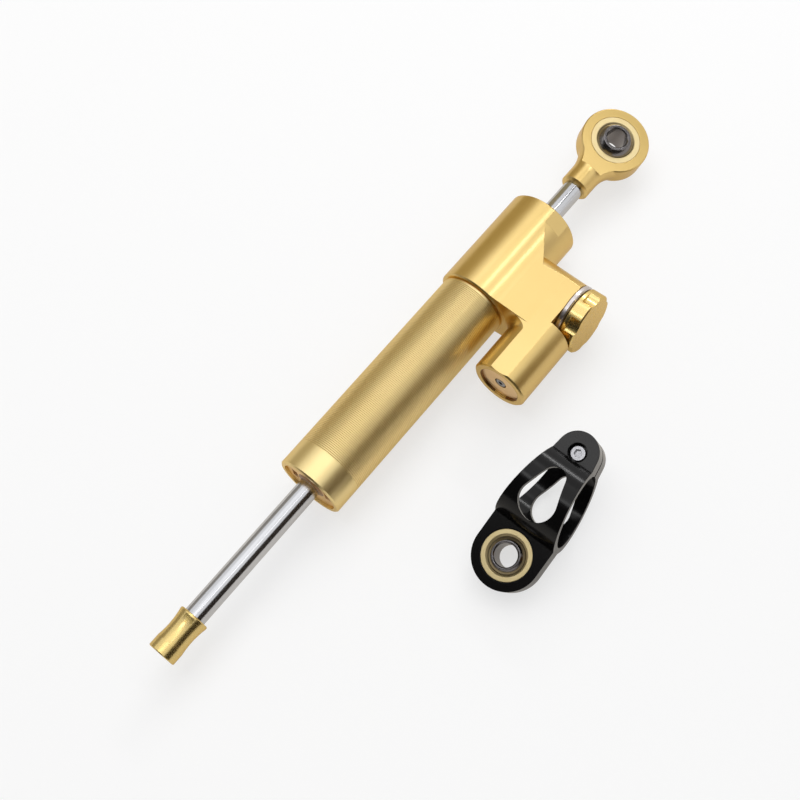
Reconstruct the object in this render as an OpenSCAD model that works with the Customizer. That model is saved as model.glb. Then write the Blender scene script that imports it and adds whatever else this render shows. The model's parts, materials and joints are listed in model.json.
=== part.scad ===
// Motorcycle steering damper with a side reservoir, a damping adjuster and a loose tube clamp.
// The centre of the rod eye's ball is the origin, +X runs down the damper, +Y points to the adjuster knob.

/* [Rod] */
// Diameter of the chromed rod
rod_d = 8; // [7:0.1:8.6]
// Rod showing between the eye's neck and the head
rod_upper_show = 19.6; // [12:0.1:26]
// Rod showing between the tube and the end cap
rod_lower_show = 57.1; // [40:0.1:80]
// Length of the end cap
cap_len = 15.9; // [14:0.1:20]
// Diameter of the end cap at the rod's side
cap_d = 11; // [10.6:0.1:12]
// Diameter of the end cap at its waist
cap_waist_d = 9.7; // [9.2:0.1:10.2]
// Turn of the rod and its eye about the damper's axis, as it was laid down
eye_roll = -18.3; // [-30:0.1:0]

/* [Rod eye] */
// Diameter of the eye
eye_d = 27; // [25:0.1:30]
// Thickness of the eye across its flat faces
eye_t = 8; // [7.4:0.1:9]
// Diameter of the eye's neck
neck_d = 11.6; // [10.8:0.1:13]
// Distance from the eye's centre to the end of its neck
neck_reach = 25.8; // [25:0.1:32]
// Radius of the curve between the eye and its neck
neck_fillet = 14; // [8:0.5:18]
// Outer diameter of the eye's bearing race
eye_race_d = 19.7; // [18.6:0.1:21]
// Diameter of the eye's ball
eye_ball_d = 16; // [15:0.1:17]
// Width of the eye's ball
eye_ball_w = 12; // [10.5:0.1:12.6]
// Bolt bore through both balls
bolt_d = 8; // [6:0.1:8.4]

/* [Tube and head] */
// Outer diameter of the tube
tube_d = 25.8; // [25:0.1:26.4]
// Bore of the tube
tube_bore_d = 20; // [19.4:0.1:20.6]
// Length of tube showing below the head
tube_show = 91.1; // [84:0.1:110]
// Length of the tube's spigot inside the head
spigot_len = 12; // [9:0.1:12.4]
// Outer diameter of the spigot
spigot_d = 23.5; // [23:0.1:24]
// Diameter of the head
head_d = 28.5; // [28:0.1:30]
// Length of the head
head_len = 43.2; // [42:0.1:48]
// Chord width of the wrench flats at the head's end
wrench_flat_w = 7.6; // [5:0.1:9]
// Length of the wrench flats
wrench_flat_len = 6.5; // [4:0.1:8]
// Angle of the wrench flats from the top, towards the knob
wrench_flat_angle = 38; // [30:1:50]

/* [Arm and reservoir] */
// Distance from the tube's axis to the reservoir's axis
reservoir_y = 28.1; // [27.6:0.1:30]
// Diameter of the reservoir barrel
reservoir_d = 21.4; // [21:0.1:22.6]
// Length of the barrel below the head's lower end
reservoir_drop = 21.2; // [20:0.1:28]
// Bore of the reservoir
reservoir_bore_d = 16.4; // [15.6:0.1:17]
// Depth of the reservoir's bore
reservoir_bore_len = 24.7; // [23.4:0.1:25.2]
// Height of the flats on the arm and barrel, from the centre plane
arm_flat_z = 10.1; // [9.8:0.05:10.4]
// Height of the arm where it leaves the head
arm_root_z = 11.5; // [11:0.05:12]
// Radius of the hollow curve between the head and the arm
arm_fillet = 14; // [8:0.5:20]
// Radius of the arm's rounded upper side at the head's axis
arm_round_r = 12.9; // [12.4:0.1:13.2]
// Radius of the arm's rounded upper side at the adjuster's seat
arm_seat_r = 11.6; // [11.4:0.1:12.2]
// Radius of the hollow curve between the arm and the barrel
barrel_fillet = 3.2; // [2:0.1:4]

/* [Adjuster] */
// Distance of the knob's axis from the head's lower end
knob_rise = 17.3; // [16.6:0.1:18]
// Diameter of the knob
knob_d = 23.4; // [22.6:0.1:24.6]
// Thickness of the knob
knob_t = 6; // [5:0.1:8]
// Number of finger flutes round the knob
knob_flutes = 6; // [5:1:10]
// Depth of each flute
flute_depth = 1.1; // [0.5:0.1:1.4]
// Radius of the tool that cuts the flutes
flute_r = 6; // [4:0.1:7]
// Distance from the tube's axis to the adjuster's seat on the arm
seat_y = 31; // [30.6:0.1:31.8]
// Diameter of the collar under the knob
collar_d = 23.4; // [22:0.1:24.4]
// Thickness of the collar
collar_t = 2.2; // [2:0.1:3]
// Diameter of the adjuster's spindle
spindle_d = 6; // [5.6:0.1:6.6]
// Number of click dimples under the knob
click_count = 24; // [16:1:30]

/* [Clamp] */
// Bore of the clamp's ring
ring_bore_d = 26; // [25:0.1:27]
// Wall of the clamp's ring
ring_wall = 2.5; // [2.2:0.1:3]
// Distance from the ring's centre to the clamp's bearing
bearing_reach = 25; // [24.6:0.1:29]
// Radius of the lobe round the bearing
lobe_r = 12; // [11.4:0.1:14]
// Thickness of the lobe
lobe_t = 8; // [7.4:0.1:9]
// Distance from the ring's centre to the pinch screw
ear_reach = 16; // [15.9:0.1:17.5]
// Radius of the ears' rounded ends
ear_r = 7.3; // [6.8:0.1:8]
// Thickness across both ears
ear_t = 16; // [15:0.1:17]
// Width of the slit between the ears
slit_w = 1.2; // [0.8:0.1:1.6]
// Outer diameter of the clamp's bearing race
clamp_race_d = 17.8; // [16.6:0.1:18.6]
// Diameter of the clamp's ball
clamp_ball_d = 14; // [13.4:0.1:14.6]
// Width of the clamp's ball
clamp_ball_w = 10; // [9:0.1:10.6]
// Place of the ring's centre along the damper
clamp_x = 132.3; // [120:0.1:150]
// Place of the ring's centre beside the damper
clamp_y = 67.6; // [64:0.1:80]
// Turn of the clamp on the floor
clamp_turn = -1; // [-20:0.5:20]

/* [Hidden] */
$fn = 96;

// Clearances
run_clear = 0.03;
ball_clear = 0.07;
seat_clear = 0.02;
bore_clear = 0.05;
face_clear = 0.3;
end_gap = 0.05;
cut = 1;
full_turn = 360;

// Stations along the damper
rod_r = rod_d / 2;
head_r = head_d / 2;
tube_r = tube_d / 2;
bore_r = tube_bore_d / 2;
head_x = neck_reach + rod_upper_show;
seam_x = head_x + head_len;
tube_end_x = seam_x + tube_show;
cap_x = tube_end_x + rod_lower_show;
cap_end_x = cap_x + cap_len;
spigot_x = seam_x - spigot_len;
knob_x = seam_x - knob_rise;
edge = 0.5;

// Rod guide at each end: wiper, bush and seal, counted inwards from the outer face
seal_wall = 3;
bush_wall = 2;
wiper_wall = 1.6;
pocket_r = rod_r + seal_wall;
bush_r = rod_r + bush_wall;
passage_r = rod_r + face_clear;
wiper_r = rod_r + wiper_wall;
wiper_t = 3.2;
web_t = 2;
bush_t = 8;
seal_t = 4;
wiper_lip = 0.5;
wiper_shoulder = 1.2;
wiper_foot = 0.8;
seal_lip = 0.9;
guide_len = wiper_t + web_t + bush_t + seal_t;
gland_recess = 1;
gland_edge = 0.3;
gland_r = bore_r - seat_clear;
gland_x = tube_end_x - gland_recess;
o_ring_r = 0.9;
gland_groove_at = wiper_t + web_t + bush_t / 2;
slot_w = 5;
slot_depth = 1.6;
slot_rib = 0.4;
slot_len = 2.5;
slot_from = wiper_r + slot_rib;
flange_wall = 1;
flange_r = bore_r + flange_wall;
flange_t = 3.5;

// Piston
piston_t = 8;
piston_r = bore_r - bore_clear;
piston_travel_gap = 0.5;
piston_x = gland_x - guide_len - rod_upper_show - piston_travel_gap - piston_t;
piston_ring_t = 3;
piston_ring_depth = 1.4;
orifice_r = 0.75;
orifice_count = 4;
orifice_at = (rod_r + bore_r - piston_ring_depth) / 2;
circlip_t = 1;
circlip_groove = 0.6;
circlip_rise = 1.6;

// Rod ends
stud_step = 1;
stud_r = rod_r - stud_step;
stud_in_eye = 10;
stud_in_cap = 9;
rod_entry = 2;
cap_edge = 0.3;
cap_land = 0.8;
cap_band = 4.3;
cap_waist_at = 0.44 * cap_len;
cap_sag = (cap_d - cap_waist_d) / 2;
cap_curve_r = (pow(cap_waist_at - cap_land, 2) + cap_sag * cap_sag) / (2 * cap_sag);
cap_steps = 16;

// Rod eye
eye_r = eye_d / 2;
neck_r = neck_d / 2;
eye_race_r = eye_race_d / 2;
neck_chamfer = 0.8;
spot_margin = 3.5;
race_chamfer = 0.4;
race_relief = 0.8;
eye_edge = 0.4;
ball_chamfer = 0.45;
fillet_x = sqrt(pow(eye_r + neck_fillet, 2) - pow(neck_r + neck_fillet, 2));
fillet_turn = atan(fillet_x / (neck_r + neck_fillet));
fillet_steps = 14;
spot_r = eye_r + spot_margin;

// Arm between the head and the reservoir
reservoir_r = reservoir_d / 2;
reservoir_bore_r = reservoir_bore_d / 2;
reservoir_end_x = seam_x + reservoir_drop;
reservoir_bore_x = reservoir_end_x - reservoir_bore_len;
arm_low_x = seam_x - edge;
arm_flat_half = sqrt(pow(reservoir_r, 2) - pow(arm_flat_z, 2));
arm_flat_y = reservoir_y - arm_flat_half;
arm_fillet_y = sqrt(pow(head_r + arm_fillet, 2) - pow(arm_root_z + arm_fillet, 2));
arm_touch = [arm_fillet_y, arm_root_z + arm_fillet] * head_r / (head_r + arm_fillet);
blend_run = 3;
blend_y = arm_fillet_y + blend_run;
blend_z = arm_root_z - (arm_root_z - arm_flat_z) * (blend_y - arm_fillet_y) / (arm_flat_y - arm_fillet_y);
blend_round_r = arm_round_r - (arm_round_r - arm_seat_r) * blend_y / seat_y;
blend_x = knob_x - sqrt(pow(blend_round_r, 2) - pow(blend_z, 2));
blend_rise = 1.5;
barrel_edge = 0.6;
step_x = knob_x + max(knob_d, collar_d) / 2 + face_clear;
wrench_flat_z = sqrt(pow(head_r, 2) - pow(wrench_flat_w / 2, 2));
tube_ring_r = (bore_r + spigot_d / 2) / 2;
tube_ring_section = 0.42;
tube_groove_half = 0.5;

// Adjuster stations along the knob's axis
spindle_r = spindle_d / 2;
knob_r = knob_d / 2;
knob_lip = 1.7;
flute_turn = -46;
collar_r = collar_d / 2;
valve_bore_r = 6;
valve_floor_y = 19;
valve_port_r = 2;
valve_port_lap = 3;
valve_seat_t = 3;
valve_seat_land = 1;
cartridge_gap = 1.2;
orifice_seat_r = 1.2;
collar_y = seat_y + end_gap;
knob_y = collar_y + collar_t + face_clear;
cartridge_y = valve_floor_y + valve_seat_t + cartridge_gap;
thread_r = 2.5;
thread_len = 3;
needle_lift = 0.2;
needle_y = cartridge_y + needle_lift;
needle_tip_rise = 0.7;
needle_tip_y = valve_floor_y + needle_tip_rise;
needle_tip_r = 0.3;
needle_body_r = 1.4;
needle_gap = 0.6;
tail_r = 1.4;
tail_clear = 0.08;
tail_len = 3.6;
spindle_y = needle_y + thread_len + needle_gap;
knob_roof = 1.8;
spindle_top_y = knob_y + knob_t - knob_roof;
spindle_ring_rise = 1.6;
spindle_ring_y = spindle_y + spindle_ring_rise;
spindle_ring_section = 0.6;
click_inset = 3.5;
click_r = knob_r - click_inset;
click_dimple_r = 0.9;
click_dimple_depth = 0.4;
detent_r = 1.2;
detent_clear = 0.12;
detent_drop = 0.06;
detent_depth = 6;
detent_pocket_r = detent_r + detent_clear;
detent_y = knob_y - detent_drop - detent_r;
detent_floor_y = seat_y - detent_depth;
detent_coil_r = 0.85;
detent_wire_r = 0.2;
detent_turns = 6;

// Reservoir internals along the barrel's axis
plug_t = 4;
plug_recess = 1;
plug_r = reservoir_bore_r - bore_clear;
plug_x = reservoir_end_x - plug_recess - plug_t;
plug_edge = 0.3;
snap_groove_depth = 0.65;
snap_overlap = 0.35;
snap_groove_r = reservoir_bore_r + snap_groove_depth;
snap_t = 0.7;
snap_inner_r = reservoir_bore_r - snap_overlap;
snap_gap = 5;
plug_ring_section = 0.7;
bleed_pocket_r = 2.4;
bleed_pocket_depth = 1.6;
bleed_head_r = 2;
bleed_edge = 0.2;
bleed_shank_r = 1.25;
bleed_key_r = 1;
compensator_t = 5;
compensator_room = 5.6;
compensator_x = reservoir_bore_x + compensator_room;
compensator_wire_r = 0.5;
coil_inset = 2.2;
compensator_coil_r = reservoir_bore_r - coil_inset;
compensator_turns = 5;
port_r = 1.5;

// Clamp
ring_bore_r = ring_bore_d / 2;
ring_r = ring_bore_r + ring_wall;
clamp_race_r = clamp_race_d / 2;
lobe_tip = bearing_reach + lobe_r;
clamp_lift = sqrt(pow(lobe_tip, 2) + pow(lobe_t / 2, 2));
clamp_tilt = asin(ring_r / clamp_lift) - atan(lobe_t / 2 / lobe_tip);
floor_z = -head_r;
waist_x = sqrt(pow(ring_r, 2) - pow(lobe_t / 2, 2));
taper = (lobe_r - ear_r) / (waist_x + ear_reach);
window_low_x = 4.4;
window_high_x = -4.6;
window_low_r = 6.7;
window_high_r = 4;
window_steps = 24;
bore_relief = 0.3;
bore_relief_half = 5;
pinch_hole_r = 1.6;
pinch_thread_r = 1.5;
pinch_head_r = 2.65;
pinch_pocket_r = 3.2;
pinch_edge = 0.25;
pinch_head_t = 3;
pinch_seat = 4.6;
pinch_key_r = 1.45;

// Axes that the pieces are built on: local z runs along each axis
module main_axis() rotate([0, 90, 0]) children();
module barrel_axis() translate([0, reservoir_y, 0]) main_axis() children();
module knob_axis() translate([knob_x, 0, 0]) rotate([-90, 0, 0]) children();
module eye_axis() rotate([eye_roll, 0, 0]) children();
module upper_guide() main_axis() translate([0, 0, head_x]) children();
module lower_guide() main_axis() translate([0, 0, gland_x]) mirror([0, 0, 1]) children();
module clamp_frame() {
  translate([clamp_x, clamp_y, floor_z + ring_r])
    rotate([0, clamp_tilt, clamp_turn])
      children();
}
module bearing_frame() clamp_frame() translate([bearing_reach, 0, 0]) children();

// Outlines swept along X, Y and Z
module section_x(from, to) translate([from, 0, 0]) rotate([90, 0, 90]) linear_extrude(to - from) children();
module section_y(from, to) translate([0, to, 0]) rotate([90, 0, 0]) linear_extrude(to - from) children();

module disc(from, to, r) translate([0, 0, from]) cylinder(h = to - from, r = r);

module ring(from, to, r_out, r_in) {
  difference() {
    disc(from, to, r_out);
    disc(from - cut, to + cut, r_in);
  }
}

// Disc with both rims chamfered
module rim_disc(from, to, r, chamfer) {
  rotate_extrude()
    polygon([
      [0, from], [r - chamfer, from], [r, from + chamfer],
      [r, to - chamfer], [r - chamfer, to], [0, to]
    ]);
}

module o_ring(at, r_mid, section) {
  translate([0, 0, at])
    rotate_extrude()
      translate([r_mid, 0]) circle(section);
}

// Snap ring with a gap at its open side
module snap_ring(from, t, r_out, r_in, gap) {
  difference() {
    ring(from, from + t, r_out, r_in);
    translate([0, -gap / 2, from - cut]) cube([r_out + cut, gap, t + 2 * cut]);
  }
}

// Round wire wound about z, as one unbroken tube with flat-cut ends
module coil(turns, r_mid, wire_r, height, steps = 16, sides = 6) {
  n = turns * steps;
  pitch = (height - 2 * wire_r) / turns;
  points = [
    for (i = [0 : n])
      for (j = [0 : sides - 1])
        let (a = i * full_turn / steps, b = j * full_turn / sides, r = r_mid + wire_r * cos(b))
          [r * cos(a), r * sin(a), wire_r + pitch * a / full_turn + wire_r * sin(b)]
  ];
  walls = [
    for (i = [0 : n - 1])
      for (j = [0 : sides - 1])
        let (k = (j + 1) % sides, p = i * sides, q = p + sides)
          each [[p + j, q + j, q + k], [p + j, q + k, p + k]]
  ];
  start_cap = [for (j = [1 : sides - 2]) [0, j, j + 1]];
  end_cap_face = [for (j = [1 : sides - 2]) [n * sides, n * sides + j + 1, n * sides + j]];
  polyhedron(points, concat(walls, start_cap, end_cap_face));
}

// Spherical plain bearing: a race with a ball seat, and its ball
module bearing_race(r_out, width, ball_r, seat_half) {
  seat_r = ball_r + ball_clear;
  mouth_r = sqrt(pow(seat_r, 2) - pow(seat_half, 2));
  relief = width / 2 - seat_half;
  rim = race_chamfer / 2;
  rotate_extrude()
    difference() {
      polygon([
        [mouth_r + relief, -width / 2], [r_out - rim, -width / 2], [r_out, rim - width / 2],
        [r_out, width / 2 - rim], [r_out - rim, width / 2], [mouth_r + relief, width / 2],
        [mouth_r - relief, seat_half - relief], [mouth_r - relief, relief - seat_half]
      ]);
      circle(seat_r);
    }
}

module bearing_ball(ball_r, width) {
  bolt_r = bolt_d / 2;
  difference() {
    intersection() {
      sphere(ball_r);
      disc(-width / 2, width / 2, ball_r);
    }
    disc(-width, width, bolt_r);
    for (side = [0, 1])
      mirror([0, 0, side])
        translate([0, 0, width / 2 - ball_chamfer])
          cylinder(h = 2 * ball_chamfer, r1 = bolt_r, r2 = bolt_r + 2 * ball_chamfer);
  }
}

// Rod guide pieces, counted inwards from the guide's outer face
module guide_pockets(depth) {
  disc(-cut, wiper_t, wiper_r);
  disc(0, depth, passage_r);
  disc(wiper_t + web_t, guide_len, bush_r);
  disc(guide_len - seal_t, depth, pocket_r);
}

module guide_wiper() {
  rotate_extrude()
    polygon([
      [rod_r + bore_clear, -wiper_lip], [rod_r + wiper_lip, -wiper_lip], [rod_r + wiper_shoulder, 0],
      [wiper_r - seat_clear, 0], [wiper_r - seat_clear, wiper_t - end_gap],
      [rod_r + wiper_foot, wiper_t - end_gap], [rod_r + wiper_foot, wiper_t / 2],
      [rod_r + bore_clear, wiper_t / 4]
    ]);
}

module guide_bush() {
  at = wiper_t + web_t;
  ring(at, at + bush_t - end_gap, bush_r - seat_clear, rod_r + run_clear);
}

module guide_seal() {
  at = guide_len - seal_t;
  rotate_extrude()
    polygon([
      [rod_r + bore_clear, at], [pocket_r - seat_clear, at], [pocket_r - seat_clear, at + seal_t - end_gap],
      [pocket_r - seal_lip, at + seal_t - end_gap], [(pocket_r + rod_r) / 2, at + seal_t / 2],
      [rod_r + seal_lip, at + seal_t - end_gap], [rod_r + bore_clear, at + seal_t - end_gap]
    ]);
}

// Tube with a spigot for the head and a counterbored mouth for the lower gland
module cylinder_tube() {
  color("#c8a24c")
    main_axis()
      difference() {
        union() {
          rim_disc(seam_x, tube_end_x, tube_r, edge);
          disc(spigot_x + end_gap, seam_x + edge, spigot_d / 2 - seat_clear);
        }
        disc(spigot_x - cut, tube_end_x + cut, bore_r);
        disc(gland_x - flange_t - end_gap, tube_end_x + cut, flange_r + seat_clear);
      }
}

// Section across the arm, from the damper's axis to the adjuster's seat
module arm_section() {
  for (side = [0, 1])
    mirror([0, side])
      polygon([
        [0, -cut], [seat_y, -cut], [seat_y, arm_flat_z], [arm_flat_y, arm_flat_z],
        [arm_fillet_y, arm_root_z], [0, arm_root_z]
      ]);
}

// Hollow curve that leads from the round head into the arm
module blend_section() {
  for (side = [0, 1])
    mirror([0, side])
      difference() {
        polygon([
          [0, 0], [blend_y, 0], [blend_y, blend_z], [arm_fillet_y, arm_root_z],
          [arm_touch[0], arm_touch[1]], [0, arm_touch[1]]
        ]);
        translate([arm_fillet_y, arm_root_z + arm_fillet]) circle(arm_fillet);
        difference() {
          translate([0, arm_root_z / 2]) square([arm_touch[0], head_r]);
          circle(head_r - edge);
          polygon([[0, 0], [arm_touch[0], 0], [arm_touch[0], arm_touch[1]]]);
        }
      }
}

module arm() {
  intersection() {
    section_x(0, arm_low_x) arm_section();
    union() {
      knob_axis() cylinder(h = seat_y, r1 = arm_round_r, r2 = arm_seat_r);
      translate([knob_x, 0, -head_r]) cube([seam_x - knob_x, seat_y, head_d]);
    }
  }
  intersection() {
    section_x(head_x + edge, arm_low_x) blend_section();
    translate([0, 0, -head_r])
      linear_extrude(head_d)
        polygon([
          [arm_low_x, 0], [arm_low_x, blend_y], [blend_x, blend_y],
          [blend_x - blend_rise * (blend_y - arm_touch[0] / 2), arm_touch[0] / 2],
          [blend_x - blend_rise * (blend_y - arm_touch[0] / 2), 0]
        ]);
  }
}

// Reservoir barrel with milled flats, and the hollow curve under the arm
module barrel() {
  intersection() {
    union() {
      barrel_axis() rim_disc(knob_x, reservoir_end_x, reservoir_r, barrel_edge);
      intersection() {
        barrel_axis()
          difference() {
            disc(arm_low_x - edge, arm_low_x + barrel_fillet, reservoir_r + barrel_fillet);
            translate([0, 0, arm_low_x + barrel_fillet])
              rotate_extrude() translate([reservoir_r + barrel_fillet, 0]) circle(barrel_fillet);
          }
        translate([0, 0, -head_r]) cube([reservoir_end_x, reservoir_y, head_d]);
      }
    }
    translate([0, 0, -arm_flat_z]) cube([reservoir_end_x + cut, reservoir_y + reservoir_d, 2 * arm_flat_z]);
  }
}

module wrench_flats() {
  for (side = [0, 180])
    rotate([side - wrench_flat_angle, 0, 0])
      translate([head_x - cut, -head_r, wrench_flat_z])
        cube([wrench_flat_len + cut, head_d, head_r]);
}

// One machined block: head, arm and reservoir barrel, with its bores and oil ways
module head_block() {
  color("#d9b45c")
    difference() {
      union() {
        main_axis() rim_disc(head_x, seam_x, head_r, edge);
        arm();
        barrel();
      }
      wrench_flats();
      translate([0, seat_y, -head_r]) cube([step_x, reservoir_d, head_d]);
      upper_guide() guide_pockets(guide_len + cut);
      main_axis() {
        disc(head_x + guide_len, seam_x, bore_r);
        disc(spigot_x, seam_x + cut, spigot_d / 2);
        translate([0, 0, spigot_x - 2 * tube_ring_section])
          ring(0, 2 * tube_ring_section + end_gap, tube_ring_r + tube_groove_half,
               tube_ring_r - tube_groove_half);
      }
      barrel_axis() {
        disc(reservoir_bore_x, reservoir_end_x + cut, reservoir_bore_r);
        disc(knob_x, reservoir_bore_x + cut, port_r);
        disc(plug_x + plug_t, plug_x + plug_t + snap_t + end_gap, snap_groove_r);
      }
      knob_axis() {
        disc(valve_floor_y, seat_y + cut, valve_bore_r);
        disc(bore_r - valve_port_lap, valve_floor_y + cut, valve_port_r);
        translate([-click_r, 0, 0]) disc(detent_floor_y, seat_y + cut, detent_pocket_r);
      }
    }
}

// Threaded end plug of the tube, with two spanner slots in its face
module lower_gland() {
  color("#cfa56a")
    lower_guide()
      difference() {
        union() {
          rim_disc(0, flange_t, flange_r, gland_edge);
          rim_disc(0, guide_len, gland_r, gland_edge);
        }
        guide_pockets(guide_len + cut);
        ring(gland_groove_at - o_ring_r - end_gap, gland_groove_at + o_ring_r + end_gap, gland_r + cut,
             gland_r - 2 * o_ring_r);
        for (side = [0, 1])
          mirror([0, side, 0])
            translate([-slot_w / 2, slot_from, -cut]) cube([slot_w, slot_len, slot_depth + cut]);
      }
}

module gland_o_ring() {
  color("#202020")
    lower_guide()
      o_ring(gland_groove_at, gland_r - o_ring_r - seat_clear / 2, o_ring_r - seat_clear);
}

module tube_o_ring() {
  color("#202020")
    main_axis()
      o_ring(spigot_x - tube_ring_section, tube_ring_r, tube_ring_section - seat_clear);
}

module lower_bush() {
  color("#b08d57") lower_guide() guide_bush();
}

module lower_seal() {
  color("#262626") lower_guide() guide_seal();
}

module lower_wiper() {
  color("#8a6f3c") lower_guide() guide_wiper();
}

module upper_bush() {
  color("#b08d57") upper_guide() guide_bush();
}

module upper_seal() {
  color("#262626") upper_guide() guide_seal();
}

module upper_wiper() {
  color("#8a6f3c") upper_guide() guide_wiper();
}

// Piston between two snap rings on the rod, with a groove for its ring
module piston() {
  ring_from = (piston_t - piston_ring_t) / 2;
  color("#b5b8bc")
    main_axis()
      translate([0, 0, piston_x])
        difference() {
          rim_disc(0, piston_t, piston_r, edge);
          disc(-cut, piston_t + cut, rod_r + run_clear);
          ring(ring_from, ring_from + piston_ring_t, bore_r + cut, piston_r - piston_ring_depth);
          for (i = [0 : orifice_count - 1])
            rotate(i * full_turn / orifice_count)
              translate([orifice_at, 0, 0]) disc(-cut, piston_t + cut, orifice_r);
        }
}

module piston_ring() {
  from = piston_x + (piston_t - piston_ring_t) / 2;
  color("#e8e4d8")
    main_axis()
      ring(from + end_gap, from + piston_ring_t - end_gap, bore_r - seat_clear,
           piston_r - piston_ring_depth + end_gap);
}

// Through rod with grooves for the piston's snap rings and a stud at each end
module damper_rod() {
  color("#d4d7da")
    main_axis()
      difference() {
        union() {
          disc(neck_reach - rod_entry - stud_in_eye, cap_x + rod_entry + stud_in_cap, stud_r);
          disc(neck_reach - rod_entry, cap_x + rod_entry, rod_r);
        }
        for (at = [piston_x - circlip_t - 2 * end_gap, piston_x + piston_t])
          ring(at, at + circlip_t + 2 * end_gap, rod_r + cut, rod_r - circlip_groove);
      }
}

module piston_circlips() {
  color("#3a3d40")
    main_axis()
      for (at = [piston_x - circlip_t - end_gap, piston_x + piston_t + end_gap])
        snap_ring(at, circlip_t, rod_r + circlip_rise, rod_r - circlip_groove + end_gap, rod_r / 2);
}

// Neck that flares into the eye, turned about the rod's axis
module flared_neck() {
  flare = [
    for (i = [0 : fillet_steps])
      let (a = 180 + fillet_turn * (1 - i / fillet_steps))
        [neck_r + neck_fillet * (1 + cos(a)), fillet_x + neck_fillet * sin(a)]
  ];
  rotate_extrude()
    polygon(concat(
      [[0, flare[0][1]]], flare,
      [[neck_r, neck_reach - neck_chamfer], [neck_r - neck_chamfer, neck_reach], [0, neck_reach]]
    ));
}

// Rod eye: a flat ring on a round neck that the rod screws into
module rod_eye() {
  color("#d9b45c")
    eye_axis()
      difference() {
        union() {
          rim_disc(-eye_t / 2, eye_t / 2, eye_r, eye_edge);
          difference() {
            main_axis() flared_neck();
            for (side = [0, 1])
              mirror([0, 0, side]) disc(eye_t / 2, eye_d, spot_r);
          }
        }
        disc(-eye_t, eye_t, eye_race_r);
        main_axis() {
          disc(neck_reach - rod_entry, neck_reach + cut, rod_r + seat_clear);
          disc(neck_reach - rod_entry - stud_in_eye - end_gap, neck_reach, stud_r + seat_clear);
        }
      }
}

module eye_race() {
  color("#cfae62")
    eye_axis()
      bearing_race(eye_race_r - seat_clear, eye_t, eye_ball_d / 2, eye_t / 2 - race_chamfer);
}

module eye_ball() {
  color("#7d8084") eye_axis() bearing_ball(eye_ball_d / 2, eye_ball_w);
}

// Hollow side of the end cap, from its rim to the plain band at its free end
function cap_side() = [
  for (i = [0 : cap_steps])
    let (x = cap_land + (cap_len - cap_band - cap_land) * i / cap_steps)
      [cap_waist_d / 2 + cap_curve_r - sqrt(pow(cap_curve_r, 2) - pow(x - cap_waist_at, 2)), x]
];

// Spool-shaped stop on the free end of the rod
module end_cap() {
  side = cap_side();
  band_r = side[cap_steps][0];
  color("#d9b45c")
    main_axis()
      translate([0, 0, cap_x])
        difference() {
          rotate_extrude()
            polygon(concat(
              [[0, 0], [cap_d / 2 - cap_edge, 0], [cap_d / 2, cap_edge]], side,
              [[band_r, cap_len - cap_edge], [band_r - cap_edge, cap_len], [0, cap_len]]
            ));
          disc(-cut, rod_entry, rod_r + seat_clear);
          disc(0, rod_entry + stud_in_cap + end_gap, stud_r + seat_clear);
        }
}

// Groove for an O-ring in the side of the plug or the compensator piston
module plug_groove(at) {
  half = plug_ring_section + end_gap;
  ring(at - half, at + half, plug_r + cut, plug_r - 2 * plug_ring_section);
}

// Plug that closes the reservoir, with a pocket for the bleed screw
module reservoir_plug() {
  color("#d2a877")
    barrel_axis()
      translate([0, 0, plug_x])
        difference() {
          rim_disc(0, plug_t, plug_r, plug_edge);
          disc(plug_t - bleed_pocket_depth, plug_t + cut, bleed_pocket_r);
          disc(-cut, plug_t, bleed_shank_r + seat_clear);
          plug_groove(plug_t / 2);
        }
}

module plug_o_ring() {
  color("#202020")
    barrel_axis()
      o_ring(plug_x + plug_t / 2, plug_r - plug_ring_section - seat_clear / 2,
             plug_ring_section - seat_clear);
}

module plug_circlip() {
  color("#35312c")
    barrel_axis()
      snap_ring(plug_x + plug_t, snap_t, snap_groove_r - seat_clear, snap_inner_r, snap_gap);
}

module bleed_screw() {
  head_at = plug_x + plug_t - bleed_pocket_depth;
  color("#a9acb0")
    barrel_axis()
      difference() {
        union() {
          disc(plug_x, head_at + end_gap, bleed_shank_r);
          rim_disc(head_at, head_at + bleed_pocket_depth, bleed_head_r, bleed_edge);
        }
        translate([0, 0, head_at + bleed_pocket_depth / 3])
          cylinder(h = bleed_pocket_depth, r = bleed_key_r, $fn = 6);
      }
}

// Sprung piston that takes up the oil's growth in heat
module compensator_piston() {
  color("#b5b8bc")
    barrel_axis()
      translate([0, 0, compensator_x])
        difference() {
          rim_disc(0, compensator_t, plug_r, plug_edge);
          plug_groove(compensator_t / 2);
        }
}

module compensator_o_ring() {
  color("#202020")
    barrel_axis()
      o_ring(compensator_x + compensator_t / 2, plug_r - plug_ring_section - seat_clear / 2,
             plug_ring_section - seat_clear);
}

module compensator_spring() {
  from = compensator_x + compensator_t + end_gap;
  color("#9da1a5")
    barrel_axis()
      translate([0, 0, from])
        coil(compensator_turns, compensator_coil_r, compensator_wire_r, plug_x - end_gap - from);
}

// Collar under the knob, in one piece with the bush that guides the spindle
module adjuster_collar() {
  groove_half = spindle_ring_section + end_gap;
  color("#c9ccd0")
    knob_axis()
      difference() {
        union() {
          rim_disc(collar_y, collar_y + collar_t, collar_r, edge);
          disc(cartridge_y, collar_y + edge, valve_bore_r - seat_clear);
        }
        disc(spindle_y - needle_gap / 2, knob_y, spindle_r + run_clear);
        disc(cartridge_y - cut, knob_y, thread_r + run_clear);
        ring(spindle_ring_y - groove_half, spindle_ring_y + groove_half,
             spindle_r + 2 * spindle_ring_section, spindle_r / 2);
        translate([-click_r, 0, 0]) disc(collar_y - cut, knob_y, detent_pocket_r);
      }
}

module spindle_o_ring() {
  color("#202020")
    knob_axis()
      o_ring(spindle_ring_y, spindle_r + spindle_ring_section + run_clear / 2,
             spindle_ring_section - run_clear);
}

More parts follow.
